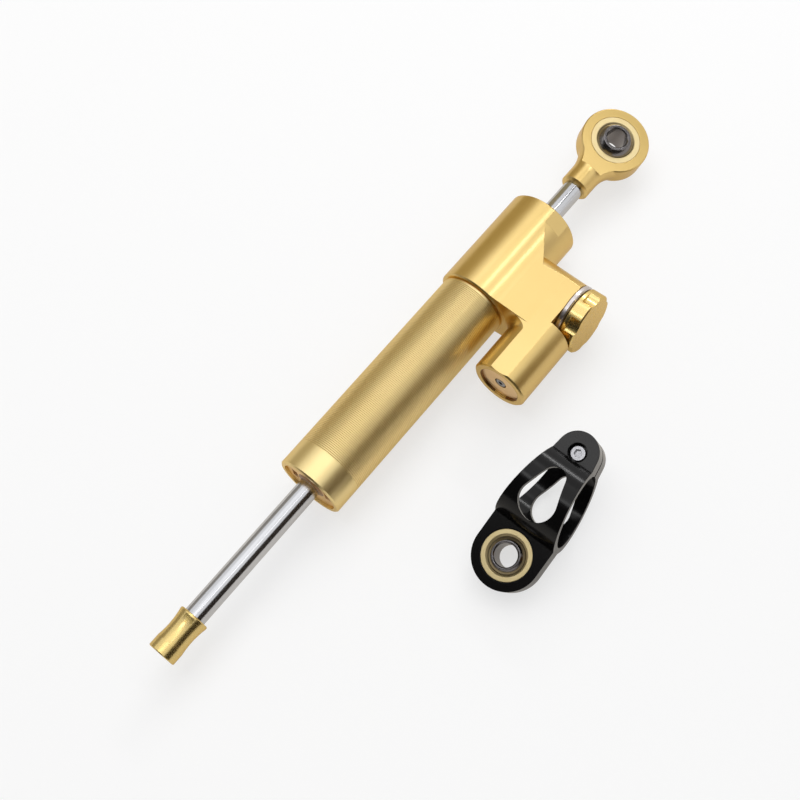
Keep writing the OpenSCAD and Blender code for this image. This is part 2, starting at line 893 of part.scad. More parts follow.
// Brass seat that the needle closes
module valve_seat() {
  color("#b58a3f")
    knob_axis()
      difference() {
        disc(valve_floor_y + end_gap, valve_floor_y + valve_seat_t, valve_bore_r - seat_clear);
        disc(valve_floor_y, valve_floor_y + valve_seat_t + cut, orifice_seat_r);
        translate([0, 0, valve_floor_y + valve_seat_land])
          cylinder(h = valve_seat_t, r1 = orifice_seat_r, r2 = orifice_seat_r + valve_seat_t / 3);
      }
}

// Knob with finger flutes, a blind bore for the spindle and click dimples under it
module adjuster_knob() {
  color("#d9b45c")
    knob_axis()
      difference() {
        rim_disc(knob_y, knob_y + knob_t, knob_r, edge);
        for (i = [0 : knob_flutes - 1])
          rotate(i * full_turn / knob_flutes + flute_turn)
            translate([knob_r + flute_r - flute_depth, 0, 0])
              disc(knob_y + knob_lip, knob_y + knob_t + cut, flute_r);
        disc(knob_y - cut, spindle_top_y, spindle_r);
        for (i = [0 : click_count - 1])
          rotate((i + 0.5) * full_turn / click_count)
            translate([click_r, 0, knob_y - click_dimple_r + click_dimple_depth]) sphere(click_dimple_r);
      }
}

module adjuster_spindle() {
  color("#a9acb0")
    knob_axis()
      difference() {
        disc(spindle_y, spindle_top_y, spindle_r - seat_clear / 2);
        translate([0, 0, spindle_y - cut])
          cylinder(h = tail_len + needle_gap + cut, r = tail_r + tail_clear, $fn = 6);
      }
}

// Needle with a fine thread and a six-sided tail that slides in the spindle
module metering_needle() {
  color("#8e9296")
    knob_axis() {
      translate([0, 0, needle_tip_y])
        cylinder(h = needle_y - needle_tip_y, r1 = needle_tip_r, r2 = needle_body_r);
      disc(needle_y, needle_y + thread_len, thread_r);
      translate([0, 0, needle_y + thread_len]) cylinder(h = tail_len, r = tail_r, $fn = 6);
    }
}

module detent_spring() {
  color("#9da1a5")
    knob_axis()
      translate([-click_r, 0, detent_floor_y + end_gap])
        coil(detent_turns, detent_coil_r, detent_wire_r, detent_y - detent_r - detent_floor_y - 2 * end_gap);
}

module detent_ball() {
  color("#b9bcc0") knob_axis() translate([-click_r, 0, detent_y]) sphere(detent_r);
}

// Points along an arc about a place on the x axis
function arc_points(x, r, from, to, steps) = [
  for (i = [0 : steps])
    let (a = from + (to - from) * i / steps)
      [x + r * cos(a), r * sin(a)]
];

// Opening with two round ends joined by straight tapered sides
module window_outline() {
  turn = acos((window_high_r - window_low_r) / (window_low_x - window_high_x));
  polygon(concat(
    arc_points(window_low_x, window_low_r, -turn, turn, window_steps),
    arc_points(window_high_x, window_high_r, turn, full_turn - turn, window_steps)
  ));
}

// Side view of the clamp: the ring, the bearing's lobe and the ears
module clamp_profile() {
  circle(ring_r);
  translate([0, -lobe_t / 2]) square([lobe_tip + cut, lobe_t]);
  translate([-ear_reach - ear_r - cut, -ear_t / 2]) square([ear_reach + ear_r + cut, ear_t]);
}

// Plan of the clamp: straight sides between two round ends
module clamp_plan() {
  lean = sqrt(1 - taper * taper);
  translate([bearing_reach, 0]) circle(lobe_r);
  translate([-ear_reach, 0]) circle(ear_r);
  polygon([
    [bearing_reach, lobe_r], [waist_x, lobe_r], [waist_x - lobe_r * taper, lobe_r * lean],
    [-ear_reach - ear_r * taper, ear_r * lean], [-ear_reach - ear_r * taper, -ear_r * lean],
    [waist_x - lobe_r * taper, -lobe_r * lean], [waist_x, -lobe_r], [bearing_reach, -lobe_r]
  ]);
}

// Split ring with a bearing lobe and two ears pulled together by a screw; its bore grips at both ends
module clamp_bracket() {
  color("#1c1c1e")
    clamp_frame()
      difference() {
        intersection() {
          section_y(-lobe_r - cut, lobe_r + cut) clamp_profile();
          translate([0, 0, -ring_r - cut]) linear_extrude(2 * ring_r + 2 * cut) clamp_plan();
        }
        section_y(-lobe_r - cut, lobe_r + cut) circle(ring_bore_r);
        section_y(-bore_relief_half, bore_relief_half) circle(ring_bore_r + bore_relief);
        translate([0, 0, -ring_r - cut])
          linear_extrude(2 * ring_r + 2 * cut)
            window_outline();
        translate([-ear_reach - ear_r - cut, -lobe_r, -slit_w / 2])
          cube([ear_reach + ear_r + cut, 2 * lobe_r, slit_w]);
        translate([bearing_reach, 0, 0]) disc(-ring_r, ring_r, clamp_race_r);
        translate([-ear_reach, 0, 0]) {
          disc(0, ring_r, pinch_hole_r);
          disc(-ring_r, cut, pinch_thread_r);
          disc(ear_t / 2 - pinch_seat, ring_r, pinch_pocket_r);
        }
      }
}

module clamp_race() {
  width = lobe_t - race_chamfer;
  color("#cfae62")
    bearing_frame()
      bearing_race(clamp_race_r - seat_clear, width, clamp_ball_d / 2, width / 2 - race_relief);
}

module clamp_ball() {
  color("#9a9da1") bearing_frame() bearing_ball(clamp_ball_d / 2, clamp_ball_w);
}

module clamp_screw() {
  head_at = ear_t / 2 - pinch_seat;
  color("#c9ccd0")
    clamp_frame()
      translate([-ear_reach, 0, 0])
        difference() {
          union() {
            disc(-ear_t / 2, head_at + end_gap, pinch_thread_r - seat_clear);
            rim_disc(head_at, head_at + pinch_head_t, pinch_head_r, pinch_edge);
          }
          translate([0, 0, head_at + pinch_head_t / 2]) cylinder(h = pinch_head_t, r = pinch_key_r, $fn = 6);
        }
}

cylinder_tube();
head_block();
lower_gland();
gland_o_ring();
tube_o_ring();
lower_bush();
lower_seal();
lower_wiper();
upper_bush();
upper_seal();
upper_wiper();
piston();
piston_ring();
damper_rod();
piston_circlips();
rod_eye();
eye_race();
eye_ball();
end_cap();
reservoir_plug();
plug_o_ring();
plug_circlip();
bleed_screw();
compensator_piston();
compensator_o_ring();
compensator_spring();
adjuster_collar();
spindle_o_ring();
valve_seat();
adjuster_knob();
adjuster_spindle();
metering_needle();
detent_spring();
detent_ball();
clamp_bracket();
clamp_race();
clamp_ball();
clamp_screw();
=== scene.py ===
import json
import math

import bmesh
import bpy
from mathutils import Matrix, Vector

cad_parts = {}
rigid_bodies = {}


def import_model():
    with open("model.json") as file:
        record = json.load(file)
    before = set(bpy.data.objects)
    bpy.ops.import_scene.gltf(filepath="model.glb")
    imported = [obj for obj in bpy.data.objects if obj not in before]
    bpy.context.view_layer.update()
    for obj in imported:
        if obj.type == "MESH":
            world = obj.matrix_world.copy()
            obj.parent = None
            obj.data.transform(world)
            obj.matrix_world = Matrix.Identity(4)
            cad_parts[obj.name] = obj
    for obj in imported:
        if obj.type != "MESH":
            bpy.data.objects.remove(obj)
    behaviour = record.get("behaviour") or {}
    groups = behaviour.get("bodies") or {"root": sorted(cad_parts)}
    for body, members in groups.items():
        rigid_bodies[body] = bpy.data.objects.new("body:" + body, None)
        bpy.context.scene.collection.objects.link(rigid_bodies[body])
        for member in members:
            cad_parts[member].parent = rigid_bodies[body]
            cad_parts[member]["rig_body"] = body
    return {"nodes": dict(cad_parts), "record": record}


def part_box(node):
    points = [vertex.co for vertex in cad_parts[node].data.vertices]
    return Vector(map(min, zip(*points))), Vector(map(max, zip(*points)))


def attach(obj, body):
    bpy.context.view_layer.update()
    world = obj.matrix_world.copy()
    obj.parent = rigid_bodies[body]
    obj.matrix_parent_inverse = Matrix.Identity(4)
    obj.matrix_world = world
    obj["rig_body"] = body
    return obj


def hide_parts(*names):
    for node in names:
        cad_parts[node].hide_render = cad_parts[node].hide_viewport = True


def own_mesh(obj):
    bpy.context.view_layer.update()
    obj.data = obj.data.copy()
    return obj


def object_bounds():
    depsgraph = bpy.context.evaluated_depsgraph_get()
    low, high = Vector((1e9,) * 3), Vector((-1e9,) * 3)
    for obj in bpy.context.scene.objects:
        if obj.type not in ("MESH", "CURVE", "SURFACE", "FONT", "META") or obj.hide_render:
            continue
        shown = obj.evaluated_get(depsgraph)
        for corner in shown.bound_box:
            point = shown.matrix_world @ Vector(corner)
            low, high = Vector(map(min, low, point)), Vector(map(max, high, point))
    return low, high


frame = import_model()
cadLow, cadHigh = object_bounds()
nodes = frame["nodes"]
mm = 0.001
print("frame loaded with", len(nodes), "nodes")


# Node and colour helpers

def hexToLinear(code):
    def channel(pair):
        value = int(pair, 16) / 255
        return value / 12.92 if value <= 0.04045 else ((value + 0.055) / 1.055) ** 2.4
    return (channel(code[1:3]), channel(code[3:5]), channel(code[5:7]), 1)


def addNode(tree, kind, settings=None, links=None):
    # settings: socket (name or number) or node property to value; links: socket to (node, output)
    node = tree.nodes.new(kind)
    for name, value in (settings or {}).items():
        if isinstance(name, int) or name in node.inputs:
            node.inputs[name].default_value = value
        else:
            setattr(node, name, value)
    for name, (source, output) in (links or {}).items():
        tree.links.new(source.outputs[output], node.inputs[name])
    return node


def startMaterial(name):
    material = bpy.data.materials.new(name)
    material.use_nodes = True
    material.node_tree.nodes.clear()
    return material, material.node_tree


def finishMaterial(material, tree, settings, links):
    shader = addNode(tree, "ShaderNodeBsdfPrincipled", settings, links)
    addNode(tree, "ShaderNodeOutputMaterial", None, {"Surface": (shader, "BSDF")})
    return material


# Surfaces: sizes are in mm, and real blast and tool grain, near 0.05 mm, is drawn coarser so that it shows
noiseDetail = {"drift": 2.0, "metalGrain": 3.0, "dullGrain": 4.0}
easeSamples = 6     # rays that round off an edge in the light
oxideIor = 1.77     # clear aluminium oxide, the skin that anodising leaves
colourA, colourB, colourOut = 6, 7, 2     # a colour Mix node's sockets


def addGrain(tree, look, grain):
    # the grain breaks up the gloss and roughens the surface, and the edges are eased in the light
    gloss = addNode(tree, "ShaderNodeMapRange",
                    {"To Min": look["rough"] - look["roughSpread"],
                     "To Max": look["rough"] + look["roughSpread"]},
                    {"Value": (grain, "Fac")})
    eased = addNode(tree, "ShaderNodeBevel", {"samples": easeSamples, "Radius": look["ease"] * mm})
    bump = addNode(tree, "ShaderNodeBump",
                   {"Strength": look["bump"], "Distance": look["bumpDepth"] * mm},
                   {"Height": (grain, "Fac"), "Normal": (eased, "Normal")})
    return gloss, eased, bump


# Metals: a base tint that drifts a little, and a grain that can be drawn out along the tool's way

def makeMetal(look):
    material, tree = startMaterial(look["name"])
    place = addNode(tree, "ShaderNodeTexCoord")
    drift = addNode(tree, "ShaderNodeTexNoise",
                    {"Scale": 1 / (look["driftSize"] * mm), "Detail": noiseDetail["drift"]},
                    {"Vector": (place, "Object")})
    tint = addNode(tree, "ShaderNodeMix",
                   {"data_type": "RGBA", colourA: hexToLinear(look["tint"]),
                    colourB: hexToLinear(look["tintDrift"])},
                   {0: (drift, "Fac")})
    if "groove" in look:
        # painted shade: dips in the mesh get a darker colour, standing in for the shade between turning rings
        form = addNode(tree, "ShaderNodeNewGeometry")
        paintedShadeMask = addNode(tree, "ShaderNodeMapRange",
                         {"From Min": look["hollowFrom"], "From Max": look["hollowTo"]},
                         {"Value": (form, "Pointiness")})
        tint = addNode(tree, "ShaderNodeMix",
                       {"data_type": "RGBA", colourA: hexToLinear(look["groove"])},
                       {0: (paintedShadeMask, "Result"), colourB: (tint, colourOut)})
    stretch = addNode(tree, "ShaderNodeMapping", {"Scale": look["grainStretch"]},
                      {"Vector": (place, "Object")})
    grain = addNode(tree, "ShaderNodeTexNoise",
                    {"Scale": 1 / (look["grainSize"] * mm), "Detail": noiseDetail["metalGrain"]},
                    {"Vector": (stretch, "Vector")})
    gloss, eased, bump = addGrain(tree, look, grain)
    settings = {"Metallic": 1.0, "Specular Tint": hexToLinear(look["rim"])}
    if "coat" in look:
        settings |= {"Coat Weight": look["coat"], "Coat Roughness": look["coatRough"], "Coat IOR": oxideIor}
    return finishMaterial(
        material, tree, settings,
        {"Base Color": (tint, colourOut), "Roughness": (gloss, "Result"), "Normal": (bump, "Normal"),
         "Coat Normal": (eased, "Normal")})


# Anodised aluminium, machined and lightly blasted: soft satin gold under a clear skin with pale glints
satinGold = makeMetal({
    "name": "satinGoldAnodisedAluminium", "rim": "#F0D79A",
    "tint": "#E7C87C", "tintDrift": "#E1C072", "driftSize": 14,
    "rough": 0.33, "roughSpread": 0.02, "grainSize": 0.5, "grainStretch": (1, 1, 1), "ease": 0.25,
    "bump": 0.01, "bumpDepth": 0.02, "coat": 0.7, "coatRough": 0.22,
})

# The same anodising over a turned tube: a little duller, as the rings spread the light; tint painted paler
turnedGold = makeMetal({
    "name": "turnedGoldAnodisedAluminium", "rim": "#F0D79A",
    "tint": "#F9E2A2", "tintDrift": "#F2D996", "driftSize": 18,
    "rough": 0.36, "roughSpread": 0.03, "grainSize": 0.5, "grainStretch": (1, 0.1, 0.1), "ease": 0.02,
    "bump": 0.02, "bumpDepth": 0.02, "coat": 0.5, "coatRough": 0.22,
    # painted shade for the dips between the rings, faded in over this Pointiness range
    "groove": "#8A6526", "hollowFrom": 0.4, "hollowTo": 0.5,
})

# Anodising over a polished turning: bright gold with clear reflections
brightGold = makeMetal({
    "name": "brightGoldAnodisedAluminium", "rim": "#F0D79A",
    "tint": "#E6CB82", "tintDrift": "#DFC278", "driftSize": 10,
    "rough": 0.27, "roughSpread": 0.02, "grainSize": 0.5, "grainStretch": (1, 0.1, 0.1), "ease": 0.2,
    "bump": 0.01, "bumpDepth": 0.02, "coat": 0.5, "coatRough": 0.06,
})

# Paler anodising on a faced end: pinkish gold with faint tool marks
roseGold = makeMetal({
    "name": "paleGoldAnodisedAluminium", "rim": "#F0D79A",
    "tint": "#FCE0B8", "tintDrift": "#F2D3A8", "driftSize": 6,
    "rough": 0.4, "roughSpread": 0.05, "grainSize": 0.4, "grainStretch": (0.2, 1, 1), "ease": 0.15,
    "bump": 0.05, "bumpDepth": 0.02, "coat": 0.4, "coatRough": 0.25,
})

# Clear anodised aluminium: pale silver with a faint warm sheen
clearAnodise = makeMetal({
    "name": "clearAnodisedAluminium", "rim": "#FFFFFF",
    "tint": "#D3CCCA", "tintDrift": "#C9C1BF", "driftSize": 8,
    "rough": 0.3, "roughSpread": 0.04, "grainSize": 0.4, "grainStretch": (1, 1, 1), "ease": 0.2,
    "bump": 0.02, "bumpDepth": 0.02, "coat": 0.4, "coatRough": 0.2,
})

# Machined aluminium with no finish: grey with fine tool marks
plainAluminium = makeMetal({
    "name": "machinedAluminium", "rim": "#FFFFFF",
    "tint": "#BEBFC1", "tintDrift": "#B2B3B5", "driftSize": 6,
    "rough": 0.35, "roughSpread": 0.06, "grainSize": 0.4, "grainStretch": (1, 0.2, 0.2), "ease": 0.15,
    "bump": 0.05, "bumpDepth": 0.02,
})

# Hard chrome, ground and polished along the rod: near mirror with fine lengthwise streaks
hardChrome = makeMetal({
    "name": "groundHardChrome", "rim": "#FFFFFF",
    "tint": "#D0D1D4", "tintDrift": "#C4C5C9", "driftSize": 20,
    "rough": 0.17, "roughSpread": 0.06, "grainSize": 0.45, "grainStretch": (0.02, 1, 1), "ease": 0.15,
    "bump": 0.06, "bumpDepth": 0.02,
})

# Turned brass: pale yellow, softened by its turning marks
turnedBrass = makeMetal({
    "name": "turnedBrass", "rim": "#F2E0B4",
    "tint": "#EFDEAE", "tintDrift": "#E3CE98", "driftSize": 5,
    "rough": 0.46, "roughSpread": 0.05, "grainSize": 0.4, "grainStretch": (1, 1, 1), "ease": 0.15,
    "bump": 0.03, "bumpDepth": 0.01,
})

# Bearing bronze: dull brown gold
bearingBronze = makeMetal({
    "name": "bearingBronze", "rim": "#F2E0B4",
    "tint": "#B08A5C", "tintDrift": "#A57F52", "driftSize": 4,
    "rough": 0.42, "roughSpread": 0.06, "grainSize": 0.4, "grainStretch": (1, 1, 1), "ease": 0.1,
    "bump": 0.05, "bumpDepth": 0.01,
})

# Ground bearing steel: dark grey with a smooth gloss
bearingSteel = makeMetal({
    "name": "groundBearingSteel", "rim": "#FFFFFF",
    "tint": "#8A8788", "tintDrift": "#7E7B7D", "driftSize": 5,
    "rough": 0.22, "roughSpread": 0.04, "grainSize": 0.4, "grainStretch": (1, 1, 1), "ease": 0.25,
    "bump": 0.02, "bumpDepth": 0.01,
})

# Zinc plated steel: bright grey, slightly mottled
zincSteel = makeMetal({
    "name": "zincPlatedSteel", "rim": "#FFFFFF",
    "tint": "#A9A9AC", "tintDrift": "#8E8E92", "driftSize": 1.5,
    "rough": 0.28, "roughSpread": 0.08, "grainSize": 0.5, "grainStretch": (1, 1, 1), "ease": 0.12,
    "bump": 0.05, "bumpDepth": 0.02,
})

# Phosphated spring steel: brown with an oily gloss
phosphatedSteel = makeMetal({
    "name": "phosphatedSpringSteel", "rim": "#FFFFFF",
    "tint": "#957450", "tintDrift": "#856644", "driftSize": 3,
    "rough": 0.35, "roughSpread": 0.06, "grainSize": 0.4, "grainStretch": (1, 1, 1), "ease": 0.1,
    "bump": 0.04, "bumpDepth": 0.01,
})


# Dyed skins, rubber and plastics: colour from within and a clear gloss on top

def makeDull(look):
    material, tree = startMaterial(look["name"])
    place = addNode(tree, "ShaderNodeTexCoord")
    grain = addNode(tree, "ShaderNodeTexNoise",
                    {"Scale": 1 / (look["grainSize"] * mm), "Detail": noiseDetail["dullGrain"]},
                    {"Vector": (place, "Object")})
    tint = addNode(tree, "ShaderNodeMix",
                   {"data_type": "RGBA", colourA: hexToLinear(look["tint"]),
                    colourB: hexToLinear(look["tintDrift"])},
                   {0: (grain, "Fac")})
    gloss, _, bump = addGrain(tree, look, grain)
    return finishMaterial(
        material, tree, {"IOR": look["ior"]},
        {"Base Color": (tint, colourOut), "Roughness": (gloss, "Result"), "Normal": (bump, "Normal")})


# Black anodised aluminium, blasted first: near black, with a fine grain and pale glancing sides
blackAnodise = makeDull({
    "name": "blackAnodisedAluminium", "tint": "#080808", "tintDrift": "#0F0E0E", "grainSize": 0.35,
    "rough": 0.17, "roughSpread": 0.03, "bump": 0.05, "bumpDepth": 0.02, "ior": 1.3, "ease": 0.3,
})

# Nitrile rubber, moulded: black and dull
nitrileRubber = makeDull({
    "name": "mouldedNitrileRubber", "tint": "#141414", "tintDrift": "#1C1C1C", "grainSize": 0.3,
    "rough": 0.6, "roughSpread": 0.08, "bump": 0.1, "bumpDepth": 0.02, "ior": 1.52, "ease": 0.1,
})

# Cast polyurethane wiper: amber brown with a waxy gloss
castUrethane = makeDull({
    "name": "castPolyurethane", "tint": "#A67C4E", "tintDrift": "#966E42", "grainSize": 0.5,
    "rough": 0.4, "roughSpread": 0.05, "bump": 0.04, "bumpDepth": 0.02, "ior": 1.5, "ease": 0.1,
})

# Filled fluoropolymer piston ring: cream and waxy
filledPolymer = makeDull({
    "name": "filledFluoropolymer", "tint": "#E5E0D2", "tintDrift": "#D8D2C2", "grainSize": 0.5,
    "rough": 0.45, "roughSpread": 0.05, "bump": 0.03, "bumpDepth": 0.02, "ior": 1.36, "ease": 0.1,
})

finishes = {
    "gold_anodised": satinGold, "gold_turned": turnedGold, "gold_polished": brightGold, "rose_gold": roseGold,
    "silver_anodised": clearAnodise, "plain_aluminium": plainAluminium, "black_anodised": blackAnodise,
    "hard_chrome": hardChrome, "brass": turnedBrass, "bronze": bearingBronze, "bearing_steel": bearingSteel,
    "screw_steel": zincSteel, "spring_steel": zincSteel, "dark_steel": phosphatedSteel,
    "rubber": nitrileRubber, "wiper_plastic": castUrethane, "ring_plastic": filledPolymer,
}
print("materials made:", len(set(finishes.values())))

# Every carried-over node takes the finish of its slot
slotOf = {part["node"]: part["material_slot"] for part in frame["record"]["subparts"]}
for name, node in nodes.items():
    node.data.materials.clear()
    node.data.materials.append(finishes[slotOf[name]])
nodes["adjuster_knob"].data.materials[0] = brightGold     # the knob is polished before it is dyed


# Pieces that replace a node: the tube and the two springs
sharpAngle = math.radians(32)     # faces that meet more sharply than this keep their edge


def addPiece(name, work, node):
    bmesh.ops.recalc_face_normals(work, faces=work.faces)
    mesh = bpy.data.meshes.new(name)
    work.to_mesh(mesh)
    work.free()
    mesh.polygons.foreach_set("use_smooth", [True] * len(mesh.polygons))
    mesh.set_sharp_from_angle(angle=sharpAngle)
    piece = bpy.data.objects.new(name, mesh)
    bpy.context.scene.collection.objects.link(piece)
    piece.data.materials.append(finishes[slotOf[node]])
    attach(piece, nodes[node]["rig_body"])
    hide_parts(node)
    return piece


def skinRings(work, rings):
    # faces from each ring of points to the next
    for here, after in zip(rings, rings[1:]):
        for spot in range(len(here)):
            beside = (spot + 1) % len(here)
            work.faces.new((here[spot], here[beside], after[beside], after[spot]))


alongRod = Matrix.Rotation(math.pi / 2, 4, "Y")     # local z along +X


def turn(profile, steps):
    # profile: closed loop of (along the rod, radius) in mm
    work = bmesh.new()
    rings = []
    for along, radius in profile:
        ring = []
        for step in range(steps):
            angle = 2 * math.pi * step / steps
            point = alongRod @ Vector((radius * math.cos(angle), radius * math.sin(angle), along))
            ring.append(work.verts.new(point * mm))
        rings.append(ring)
    skinRings(work, rings + rings[:1])
    return work


# Tube: turning rings down to a plain band; real ones are 0.59 mm apart, these are coarser so that they show
tubeShape = {
    "outer": 25.8, "bore": 20.0, "edge": 0.5, "plainBand": 10.2, "steps": 128,
    "mouth": 22.04, "mouthDepth": 4.55, "spigot": 23.46, "spigotLen": 11.95,
    "ringPitch": 0.68, "ringDepth": 0.14, "crest": 0.4,     # crest: share of the pitch at full size
}


def makeTube(shape):
    low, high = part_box("cylinder_tube")
    start, end = low.x / mm, high.x / mm
    seam, mouthFloor = start + shape["spigotLen"], end - shape["mouthDepth"]
    radius, bore, spigot, mouth = [shape[name] / 2 for name in ("outer", "bore", "spigot", "mouth")]
    edge, pitch = shape["edge"], shape["ringPitch"]
    profile = [(start, bore), (start, spigot), (seam, spigot), (seam, radius - edge), (seam + edge, radius)]
    firstRing = seam + 2 * edge
    ringCount = int((end - shape["plainBand"] - firstRing) / pitch)
    for ring in range(ringCount):
        at = firstRing + ring * pitch
        profile.append((at, radius))
        profile.append((at + shape["crest"] * pitch, radius))
        profile.append((at + (1 + shape["crest"]) / 2 * pitch, radius - shape["ringDepth"]))
    profile.append((firstRing + ringCount * pitch, radius))
    profile += [(end - edge, radius), (end, radius - edge)]
    profile += [(end, mouth), (mouthFloor, mouth), (mouthFloor, bore)]
    addPiece("tubeSleeve", turn(profile, shape["steps"]), "cylinder_tube")


makeTube(tubeShape)
print("tube turned")

# Springs: round wire with closed end turns, wound to fill the box of the node each replaces
springShapes = {
    "compensatorCoil": {"node": "compensator_spring", "joint": "compensator_slide", "along": 0,
                        "fixedEnd": "high", "wire": 1.0, "turns": 5},
    "detentCoil": {"node": "detent_spring", "joint": "detent_press", "along": 1,
                   "fixedEnd": "low", "wire": 0.4, "turns": 6},
}
wireSides, wireSteps = 10, 28     # round the wire, and along each turn
closedTurns = 1     # at each end, lying wire on wire


def makeSpring(name, shape):
    low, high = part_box(shape["node"])
    along, wire = shape["along"], shape["wire"]
    middle, length = (low + high) / 2, (high[along] - low[along]) / mm
    across = (high.z - low.z) / mm
    coilRadius, wireRadius = (across - wire) / 2, wire / 2
    openTurns = shape["turns"] - 2 * closedTurns
    openPitch = (length - (2 * closedTurns + 1) * wire) / openTurns
    work = bmesh.new()
    rings = []
    for step in range(shape["turns"] * wireSteps + 1):
        turned = step / wireSteps
        opened = min(max(turned - closedTurns, 0), openTurns)
        height = wireRadius + openPitch * opened + wire * (turned - opened) - length / 2
        ring = []
        for side in range(wireSides):
            angle = 2 * math.pi * side / wireSides
            reach = coilRadius + wireRadius * math.cos(angle)
            lift = height + wireRadius * math.sin(angle)
            spot = [reach * math.cos(2 * math.pi * turned), reach * math.sin(2 * math.pi * turned)]
            spot.insert(along, lift)
            ring.append(work.verts.new(middle + Vector(spot) * mm))
        rings.append(ring)
    skinRings(work, rings)
    work.faces.new(rings[0])
    work.faces.new(rings[-1])
    spring = addPiece(name, work, shape["node"])
    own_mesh(spring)


for name, shape in springShapes.items():
    makeSpring(name, shape)
print("springs wound:", len(springShapes))


# Stage: a pale floor that keeps the shadow, and a white surround

def whiteRays(tree):
    # 1 for rays from the camera, from a gloss or through glass, which all see the white surround
    paths = addNode(tree, "ShaderNodeLightPath")
    direct = addNode(tree, "ShaderNodeMath", {"operation": "MAXIMUM"},
                     {0: (paths, "Is Camera Ray"), 1: (paths, "Is Glossy Ray")})
    return addNode(tree, "ShaderNodeMath", {"operation": "MAXIMUM"},
                   {0: (direct, 0), 1: (paths, "Is Transmission Ray")})


# metres, but the gap under the damper is in mm; whiteShare: how much of the floor's own shade is painted over
floorLook = {"tint": "#FAFAFA", "whiteShare": 0.65, "fadeFrom": 0.25, "fadeTo": 0.9, "half": 6.0,
             "middle": (0.12, 0.03), "gap": 0.02}


def addFloor(look):
    material, tree = startMaterial("paleStudioFloor")
    seen = whiteRays(tree)
    place = addNode(tree, "ShaderNodeTexCoord")
    reach = addNode(tree, "ShaderNodeVectorMath", {"operation": "LENGTH"}, {0: (place, "Object")})
    fade = addNode(tree, "ShaderNodeMapRange",
                   {"From Min": look["fadeFrom"], "From Max": look["fadeTo"],
                    "To Min": look["whiteShare"], "To Max": 1.0}, {"Value": (reach, "Value")})
    share = addNode(tree, "ShaderNodeMath", {"operation": "MULTIPLY"}, {0: (seen, 0), 1: (fade, "Result")})
    matte = addNode(tree, "ShaderNodeBsdfDiffuse", {"Color": hexToLinear(look["tint"])})
    white = addNode(tree, "ShaderNodeEmission", {"Strength": 1.0})
    mixed = addNode(tree, "ShaderNodeMixShader", None, {0: (share, 0), 1: (matte, 0), 2: (white, 0)})
    addNode(tree, "ShaderNodeOutputMaterial", None, {"Surface": (mixed, "Shader")})
    work = bmesh.new()
    bmesh.ops.create_grid(work, x_segments=1, y_segments=1, size=look["half"])
    mesh = bpy.data.meshes.new("floor")
    work.to_mesh(mesh)
    work.free()
    mesh.materials.append(material)
    floor = bpy.data.objects.new("floor", mesh)
    floor.location = (*look["middle"], cadLow.z - look["gap"] * mm)
    bpy.context.scene.collection.objects.link(floor)


addFloor(floorLook)

surroundLook = {"ambient": 0.5}     # light on the object; the surround itself is white


def addWorld(look):
    world = bpy.data.worlds.new("studioSurround")
    bpy.context.scene.world = world
    world.use_nodes = True
    tree = world.node_tree
    tree.nodes.clear()
    seen = whiteRays(tree)
    level = addNode(tree, "ShaderNodeMapRange", {"To Min": look["ambient"], "To Max": 1.0},
                    {"Value": (seen, 0)})
    glow = addNode(tree, "ShaderNodeBackground", {"Color": (1, 1, 1, 1)}, {"Strength": (level, "Result")})
    addNode(tree, "ShaderNodeOutputWorld", None, {"Surface": (glow, "Background")})


addWorld(surroundLook)
print("floor and surround set")

# Lights: a broad softbox overhead and three strips that draw streaks, aimed at the middle of the damper
aimPoint = Vector((0.12, 0.02, 0))
lights = {
    "softbox": {"place": (-0.2, -0.3, 0.95), "size": (1.3, 0.75), "lengthAlong": (1, 0, 0),
                "watts": 5.2, "mirrored": False},
    "strip": {"place": (-0.05, 0.25, 0.95), "size": (0.6, 0.06), "lengthAlong": (1, 0, 0),
              "watts": 0.22, "mirrored": True},
    "headStrip": {"place": (-0.42, 0.255, 0.95), "size": (0.16, 0.07), "lengthAlong": (1, 0, 0),
                  "watts": 0.38, "mirrored": True},
    "endStrip": {"place": (-0.9, -0.25, 0.7), "size": (0.5, 0.06), "lengthAlong": (0, 1, 0),
                 "watts": 1.9, "mirrored": True},
}
for name, setup in lights.items():
    lamp = bpy.data.lights.new(name, "AREA")
    lamp.shape = "RECTANGLE"
    lamp.size, lamp.size_y = setup["size"]
    lamp.energy = setup["watts"]
    holder = bpy.data.objects.new(name, lamp)
    away = (Vector(setup["place"]) - aimPoint).normalized()
    upward = away.cross(Vector(setup["lengthAlong"])).normalized()
    turnTo = Matrix((upward.cross(away), upward, away)).transposed().to_4x4()
    holder.matrix_world = Matrix.Translation(setup["place"]) @ turnTo
    holder.visible_glossy = setup["mirrored"]
    bpy.context.scene.collection.objects.link(holder)
print("lights set:", len(lights))


# Cards seen only in the gloss: they give gold, chrome and black their bands
floorTop = cadLow.z


def rectangle(low, high):
    return [low, (high[0], low[1]), high, (low[0], high[1])]


